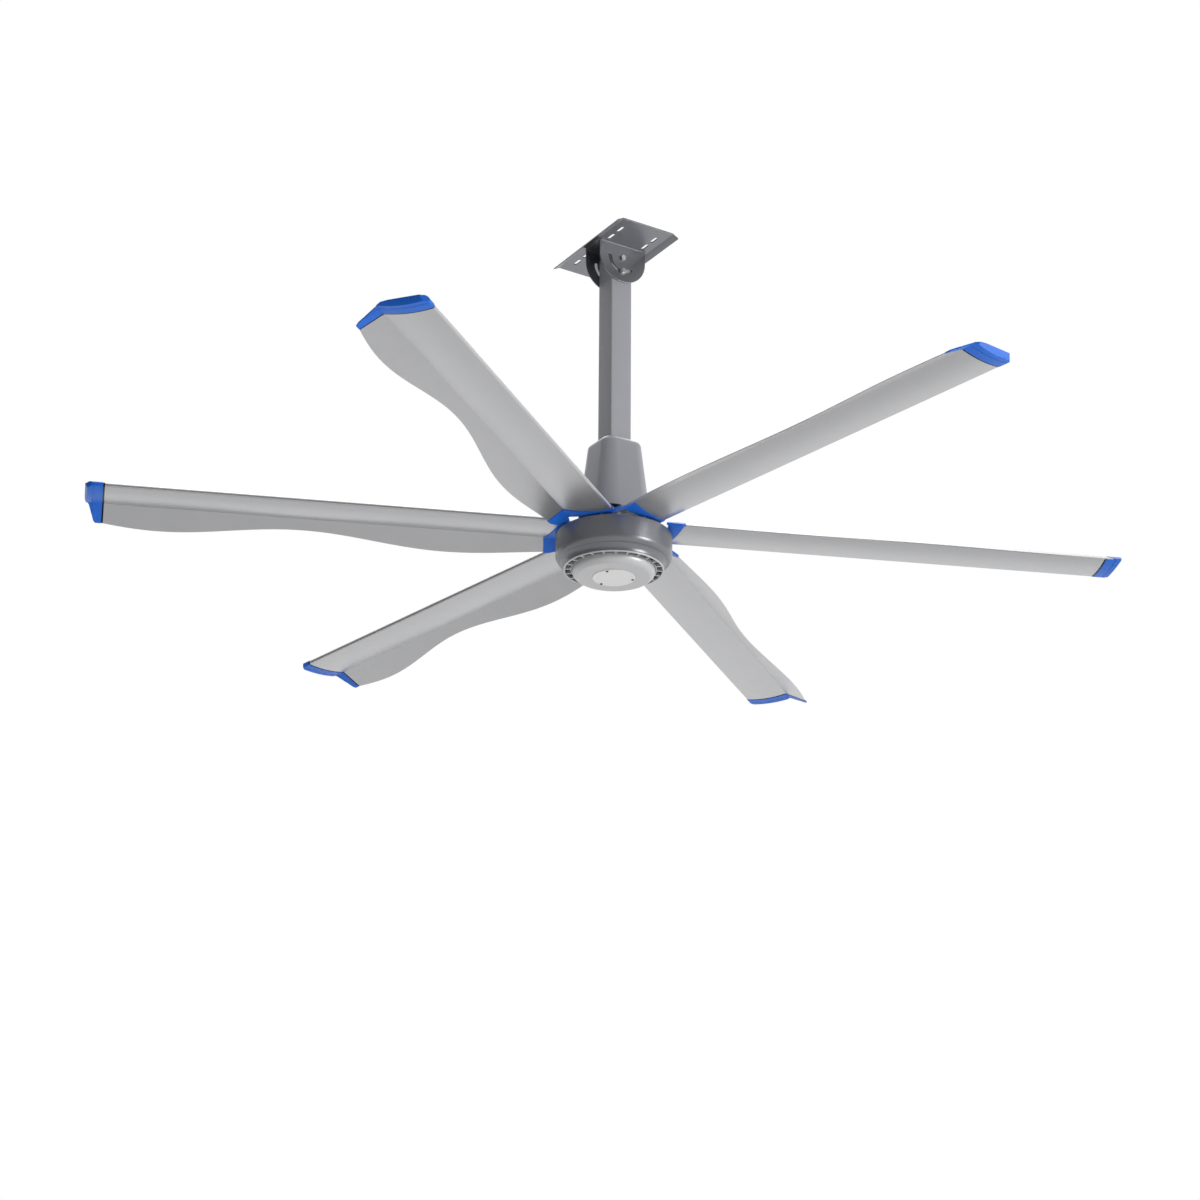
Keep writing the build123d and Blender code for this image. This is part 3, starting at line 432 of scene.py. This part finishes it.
def place_fasteners(name, node, body, places, build):
    """One piece that holds a copy of build's fastener at each place, and stands for that CAD node."""
    bm = bmesh.new()
    for matrix in places:
        before = set(bm.verts)
        build(bm)
        bmesh.ops.transform(bm, matrix=matrix, verts=[v for v in bm.verts if v not in before])
    piece = new_piece(name, bm, zinc, body)
    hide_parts(node)


# Bolts across the ears: local +Z is the head's side, which is +X
TILT_ACROSS = 18.0 * MM
TILT_RADIUS = 6.0 * MM
TILT_HEAD = 7.5 * MM
TILT_DISH = 0.25 * MM
M12_PITCH = 1.75 * MM
THREAD_INSET = 0.05 * MM
FASTENER_OVERLAP = 0.1 * MM


def cross_bolt(node, nut_node, name):
    low, high, middle = span(node)
    nut_low, nut_high, _ = span(nut_node)
    head_low = high.x - TILT_HEAD
    matrix = Matrix.Translation((0, middle.y, middle.z)) @ Matrix.Rotation(pi / 2, 4, "Y")

    def build(bm):
        add_hex_head(bm, TILT_ACROSS, head_low, high.x, recess=TILT_DISH)
        add_rings(bm, [circle(TILT_RADIUS, h, 32) for h in (nut_high.x, head_low + FASTENER_OVERLAP)])
        add_thread(bm, TILT_RADIUS - THREAD_INSET, nut_high.x + FASTENER_OVERLAP, low.x, M12_PITCH)

    def build_nut(bm):
        add_hex_head(bm, TILT_ACROSS, nut_low.x, nut_high.x, chamfer_low=True)

    place_fasteners(name, node, "mast", [matrix], build)
    place_fasteners(name + "_hex_nut", nut_node, "mast", [matrix], build_nut)


cross_bolt("pivot_bolt", "pivot_nut", "tilt_pivot")
cross_bolt("lock_bolt", "lock_nut", "tilt_lock")

# Bolts down into the blade arms, in rows along each arm
HUB_BOLT_REACHES = (95 * MM, 127 * MM)
HUB_BOLT_ACROSS = 16 * MM
HUB_BOLT_RADIUS = 5 * MM
BLADE_BOLT_REACHES = (290 * MM, 405 * MM, 520 * MM)
BLADE_BOLT_ACROSS = 13 * MM
BLADE_BOLT_RADIUS = 4 * MM
ARM_HEAD_SHARE = 1.3
ARM_HEAD_DISH = 0.2 * MM


def arm_bolts(node, name, reaches, across, radius):
    low, high, _ = span(node)
    head_low = high.z - ARM_HEAD_SHARE * radius
    places = [Matrix.Rotation(angle, 4, "Z") @ Matrix.Translation((reach, ARM_CENTRE, 0))
              for angle in blade_angles.values() for reach in reaches]

    def build(bm):
        add_hex_head(bm, across, head_low, high.z, recess=ARM_HEAD_DISH)
        add_rings(bm, [circle(radius, h, 24) for h in (low.z, head_low + FASTENER_OVERLAP)])

    place_fasteners(name, node, "rotor", places, build)


arm_bolts("hub_bolts", "hub_hex_bolts", HUB_BOLT_REACHES, HUB_BOLT_ACROSS, HUB_BOLT_RADIUS)
arm_bolts("blade_bolts", "blade_hex_bolts", BLADE_BOLT_REACHES, BLADE_BOLT_ACROSS, BLADE_BOLT_RADIUS)

# Turned parts: the housing and the vent ring's trim, in millimetres from the fan's axis and the fold plane
FOLD_LEVEL = -1096.0
TURN_STEPS = 192
CORNER_STEPS = 6
CORNER_SHARE = 0.45

WALL_RADIUS = 201
WALL_INNER = 194
WALL_BOTTOM = -95
HOUSING_TOP = -22
TOP_ROUND = 2
SEAT_RADIUS = 197
FLANGE_TOP = -30
FLANGE_BOTTOM = -38
FLANGE_INNER = 179

LIP_RADIUS = 187.5
LIP_LEVEL = -117
BEND_MIDDLE = (197, -108)
BEND_END = (188.5, LIP_LEVEL)
COVE_START = (183.5, -117.5)
COVE_MIDDLE = (174, -130)
COVE_END = (171, -144)
COVE_RADIUS = 171
COVE_INNER = 168
COVE_BOTTOM = -146

PLATE_TOP = -120
PLATE_BOTTOM = -128
PLATE_REACH = 170
BOSS_RADIUS = 65
BOSS_TOP_RADIUS = 60.5
BOSS_BORE = 47.6
BOSS_TOP = -108
BOSS_BOTTOM = -141

TRIM_OUTER = 173
TRIM_INNER = 167.4
TRIM_TOP = COVE_BOTTOM + 3
TRIM_BOTTOM = COVE_BOTTOM - 1.5


def curve_point(start, control, end, t):
    return start * (1 - t) ** 2 + control * 2 * t * (1 - t) + end * t**2


def rounded(corners):
    """The closed outline of ((radius, level), rounding) corners, each rounded as it says."""
    made = []
    places = [Vector(place) for place, _ in corners]
    for i, (here, (_, rounding)) in enumerate(zip(places, corners)):
        if rounding == 0:
            made.append(here)
            continue
        before = places[i - 1] - here
        after = places[(i + 1) % len(places)] - here
        reach = min(rounding, before.length * CORNER_SHARE, after.length * CORNER_SHARE)
        start, end = here + before.normalized() * reach, here + after.normalized() * reach
        made += [curve_point(start, here, end, s / CORNER_STEPS) for s in range(CORNER_STEPS + 1)]
    return made


def arc_corners(start, middle, end, steps):
    """Corners without rounding between start and end, on a parabola through middle."""
    a, m, b = Vector(start), Vector(middle), Vector(end)
    control = 2 * m - (a + b) / 2
    return [(curve_point(a, control, b, s / steps), 0) for s in range(1, steps)]


def turn_piece(name, outline, material):
    """Closed outline of (radius, level) pairs, turned about the rotor's axis."""
    bm = bmesh.new()
    columns = []
    for s in range(TURN_STEPS):
        a = 2 * pi * s / TURN_STEPS
        columns.append([bm.verts.new(polar(r * MM, a, (h + FOLD_LEVEL) * MM)) for r, h in outline])
    count = len(outline)
    for s in range(TURN_STEPS):
        here, there = columns[s], columns[(s + 1) % TURN_STEPS]
        for i in range(count):
            j = (i + 1) % count
            bm.faces.new((here[i], here[j], there[j], there[i]))
    return new_piece(name, bm, material, "rotor", TURNED_ANGLE)


def housing_outline():
    """Outside down to the cove, then the boss, and the inside back up to the hub disc's seat."""
    wall_end = (WALL_RADIUS, WALL_BOTTOM)
    corners = [((WALL_RADIUS, HOUSING_TOP - TOP_ROUND), 0), (wall_end, 0)]
    corners += arc_corners(wall_end, BEND_MIDDLE, BEND_END, 8)
    corners += [((LIP_RADIUS, LIP_LEVEL), 3), (COVE_START, 2)]
    corners += arc_corners(COVE_START, COVE_MIDDLE, COVE_END, 10)
    corners += [((COVE_RADIUS, COVE_BOTTOM), 1), ((COVE_INNER, COVE_BOTTOM), 1)]
    corners += [((COVE_INNER, PLATE_BOTTOM), 1), ((BOSS_RADIUS, PLATE_BOTTOM), 3)]
    corners += [((BOSS_RADIUS, BOSS_BOTTOM), 3), ((BOSS_BORE, BOSS_BOTTOM), 1)]
    corners += [((BOSS_BORE, BOSS_TOP), 1), ((BOSS_TOP_RADIUS, BOSS_TOP), 1)]
    corners += [((BOSS_TOP_RADIUS, PLATE_TOP), 3), ((PLATE_REACH, PLATE_TOP), 3)]
    corners += [((WALL_INNER, WALL_BOTTOM - 3), 2), ((WALL_INNER, FLANGE_BOTTOM), 1)]
    corners += [((FLANGE_INNER, FLANGE_BOTTOM), 1), ((FLANGE_INNER, FLANGE_TOP), 1)]
    corners += [((SEAT_RADIUS, FLANGE_TOP), 1), ((SEAT_RADIUS, HOUSING_TOP), 0)]
    corners += [((WALL_RADIUS - 1.8, HOUSING_TOP), 1.5)]
    return rounded(corners)


def trim_outline():
    corners = [((TRIM_OUTER, TRIM_TOP), 1), ((TRIM_OUTER, TRIM_BOTTOM), 1.6)]
    corners += [((TRIM_INNER, TRIM_BOTTOM), 1.6), ((TRIM_INNER, COVE_BOTTOM), 0)]
    return rounded(corners)


housing_shell = turn_piece("housing_shell", housing_outline(), housing_paint)
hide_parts("motor_housing")
turn_piece("vent_trim", trim_outline(), dish_paint)

# Ears: round cheeks drawn as smooth curves, with pivot bore and arc slot
EAR_RADIUS = 95.0 * MM
EAR_EDGE = 0.9 * MM
BORE_RADIUS = 6.08 * MM
LOCK_RADIUS = 53.0 * MM
ARC_SLOT_HALF = 6.5 * MM
ARC_SLOT_START = -178.0
ARC_SLOT_END = -52.0
ARC_SLOT_STEPS = 42
SLOT_END_STEPS = 12
PLATE_UNDERSIDE = -5.0 * MM
PIVOT_LEVEL = -54.0 * MM


def from_pivot(reach, angle):
    """The (across, up) place at that reach and angle in degrees from the pivot."""
    return reach * cos(radians(angle)), reach * sin(radians(angle))


def ear_loops():
    """Outline, bore and slot, each a list of (across, up) points round the pivot."""
    top = PLATE_UNDERSIDE - PIVOT_LEVEL
    round_end = [from_pivot(EAR_RADIUS, a) for a in range(0, -181, -3)]
    outline = [(EAR_RADIUS, top)] + round_end + [(-EAR_RADIUS, top)]
    bore = [from_pivot(BORE_RADIUS, a) for a in range(0, 360, 10)]
    sweep = ARC_SLOT_END - ARC_SLOT_START
    arc = [ARC_SLOT_START + s * sweep / ARC_SLOT_STEPS for s in range(ARC_SLOT_STEPS + 1)]
    slot = []
    for side, angles, turn in ((1, arc, 0), (-1, arc[::-1], 180)):
        slot += [from_pivot(LOCK_RADIUS + side * ARC_SLOT_HALF, a) for a in angles]
        across, up = from_pivot(LOCK_RADIUS, angles[-1])
        for s in range(1, SLOT_END_STEPS):
            x, y = from_pivot(ARC_SLOT_HALF, angles[-1] + turn + 180 * s / SLOT_END_STEPS)
            slot.append((across + x, up + y))
    return outline, bore, slot


def make_ear(node, name):
    low, high, middle = span(node)
    curve = bpy.data.curves.new(name, "CURVE")
    curve.dimensions = "2D"
    curve.fill_mode = "BOTH"
    curve.bevel_depth = EAR_EDGE
    curve.bevel_resolution = 2
    curve.offset = -EAR_EDGE
    curve.extrude = (high.x - low.x) / 2 - EAR_EDGE
    for loop in ear_loops():
        spline = curve.splines.new("POLY")
        spline.points.add(len(loop) - 1)
        for point, (across, up) in zip(spline.points, loop):
            point.co = (across, up, 0, 1)
        spline.use_cyclic_u = True
    curve.materials.append(bracket_paint)
    piece = add_object(name, curve)
    axes = Matrix(((0, 0, 1), (1, 0, 0), (0, 1, 0)))
    piece.matrix_world = Matrix.Translation((middle.x, 0, PIVOT_LEVEL)) @ axes.to_4x4()
    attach(piece, "bracket")
    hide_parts(node)


make_ear("ear_near", "near_cheek")
make_ear("ear_far", "far_cheek")

# Weld beads where the ears stand against the plate: swell, end and waist as parts of the bead's radius
BEAD_RADIUS = 1.5 * MM
BEAD_RIPPLE = 2.6 * MM
BEAD_ROOT = 0.4 * MM
BEAD_INSET = 6.0 * MM
BEAD_SWELL = 0.11
BEAD_END = 0.35
BEAD_WAIST = 0.18
BEAD_STEPS = 6


def add_bead(bm, start, end, up, out):
    """Rippled fillet from start to end, a quarter round between the up and out directions."""
    length = (end - start).length
    along = (end - start).normalized()
    steps = int(length / (BEAD_RIPPLE / 4))
    rings = []
    for s in range(steps + 1):
        t = s * length / steps
        here = start + along * t
        swell = 1 + BEAD_SWELL * abs(sin(pi * t / BEAD_RIPPLE)) - BEAD_END * (s in (0, steps))
        radius = BEAD_RADIUS * swell
        ring = [here - up * BEAD_ROOT - out * BEAD_ROOT]
        for i in range(BEAD_STEPS + 1):
            a = pi / 2 * i / BEAD_STEPS
            waist = 1 - BEAD_WAIST + BEAD_WAIST * abs(cos(2 * a))
            ring.append(here + (up * cos(a) + out * sin(a)) * radius * waist)
        rings.append(ring)
    add_rings(bm, rings)


def ear_beads():
    for node in ("ear_near", "ear_far"):
        low, high, _ = span(node)
        bm = bmesh.new()
        for side_x, out_x in ((high.x, 1), (low.x, -1)):
            start = Vector((side_x, low.y + BEAD_INSET, high.z))
            end = Vector((side_x, high.y - BEAD_INSET, high.z))
            add_bead(bm, start, end, Vector((0, 0, -1)), Vector((out_x, 0, 0)))
        new_piece(node + "_weld", bm, bracket_paint, "bracket", BEAD_ANGLE)


ear_beads()

# Studio: pale floor, white surroundings, soft lamps and a grey flag that stays out of the picture
FLOOR_LEVEL = -6.3
FLOOR_SIZE = 300.0
FLOOR_SHADE = 0.86
FLOOR_ROUGHNESS = 0.8
FLOOR_GLOW = 0.45
GLOW_RING = (5.0, 10.5)
AMBIENT = 0.52
LAMP_AIM = Vector((0, 0, -0.9))


def link_seen(tree, rays, mirrored):
    """One for rays from the camera or through something clear, and what mirrored says for the others."""
    seen = link_math(tree, "MAXIMUM", rays["Is Camera Ray"], mirrored)
    return link_math(tree, "MAXIMUM", seen, rays["Is Transmission Ray"])


def make_world():
    """Surroundings that are seen and mirrored in full white, and give less light than that."""
    world = bpy.data.worlds.new("studio")
    scene.world = world
    world.use_nodes = True
    tree = world.node_tree
    background = tree.nodes["Background"]
    background.inputs["Color"].default_value = (1, 1, 1, 1)
    rays = tree.nodes.new("ShaderNodeLightPath").outputs
    seen = link_seen(tree, rays, rays["Is Glossy Ray"])
    tree.links.new(link_range(tree, seen, AMBIENT, 1.0, 0, 1), background.inputs["Strength"])


def make_floor():
    """Pale floor, clear from below; it glows to the camera, and in mirrors from the inner ring outwards."""
    bm = bmesh.new()
    bmesh.ops.create_grid(bm, x_segments=1, y_segments=1, size=FLOOR_SIZE)
    mesh = mesh_from(bm, "floor")
    material = bpy.data.materials.new("floor")
    material.use_nodes = True
    tree = material.node_tree
    shader = tree.nodes["Principled BSDF"]
    shader.inputs["Base Color"].default_value = (FLOOR_SHADE, FLOOR_SHADE, FLOOR_SHADE, 1)
    shader.inputs["Roughness"].default_value = FLOOR_ROUGHNESS
    shader.inputs["Emission Color"].default_value = (1, 1, 1, 1)
    rays = tree.nodes.new("ShaderNodeLightPath").outputs
    distance = tree.nodes.new("ShaderNodeVectorMath")
    distance.operation = "LENGTH"
    tree.links.new(tree.nodes.new("ShaderNodeTexCoord").outputs["Object"], distance.inputs[0])
    outer = link_range(tree, distance.outputs["Value"], 0, 1, *GLOW_RING)
    seen = link_seen(tree, rays, link_math(tree, "MULTIPLY", rays["Is Glossy Ray"], outer))
    glow = link_range(tree, seen, 0.0, FLOOR_GLOW, 0, 1)
    tree.links.new(glow, shader.inputs["Emission Strength"])
    geometry = tree.nodes.new("ShaderNodeNewGeometry")
    clear = tree.nodes.new("ShaderNodeBsdfTransparent")
    mix = tree.nodes.new("ShaderNodeMixShader")
    tree.links.new(geometry.outputs["Backfacing"], mix.inputs["Fac"])
    tree.links.new(shader.outputs["BSDF"], mix.inputs[1])
    tree.links.new(clear.outputs["BSDF"], mix.inputs[2])
    tree.links.new(mix.outputs["Shader"], tree.nodes["Material Output"].inputs["Surface"])
    mesh.materials.append(material)
    floor = add_object("floor", mesh)
    floor.location = (0, 0, FLOOR_LEVEL)


def make_lamp(name, place, size, power, glossy=True):
    """Soft square lamp aimed at the fan's middle."""
    data = bpy.data.lights.new(name, "AREA")
    data.shape = "SQUARE"
    data.size = size
    data.energy = power
    lamp = add_object(name, data)
    lamp.location = place
    lamp.rotation_mode = "QUATERNION"
    lamp.rotation_quaternion = (LAMP_AIM - Vector(place)).to_track_quat("-Z", "Y")
    lamp.visible_camera = False
    lamp.visible_glossy = glossy


def make_flag(name, heading, distance, width, low, high, shade):
    """Upright grey card round the camera's side, which reflections see and the camera doesn't."""
    bm = bmesh.new()
    steps = 12
    half = width / distance / 2
    columns = []
    for s in range(steps + 1):
        a = radians(heading) - half + 2 * half * s / steps
        columns.append([bm.verts.new(polar(distance, a, z)) for z in (low, high)])
    for left, right in zip(columns, columns[1:]):
        bm.faces.new((left[0], right[0], right[1], left[1]))
    mesh = mesh_from(bm, name)
    material = bpy.data.materials.new(name)
    material.use_nodes = True
    shader = material.node_tree.nodes["Principled BSDF"]
    shader.inputs["Base Color"].default_value = (shade, shade, shade, 1)
    shader.inputs["Roughness"].default_value = 1.0
    mesh.materials.append(material)
    flag = add_object(name, mesh)
    flag.visible_camera = False
    flag.visible_shadow = False


make_world()
make_floor()
make_lamp("lamp_below", place=(1.5, -1.0, -6.1), size=7.0, power=90, glossy=False)
make_lamp("lamp_right", place=(7.5, 4.0, -1.2), size=3.0, power=370)
make_lamp("lamp_above", place=(-2.0, 1.0, 5.0), size=6.0, power=280)
make_flag("flag_round", heading=-55.0, distance=14.0, width=48.0, low=-5.6, high=9.0, shade=0.3)
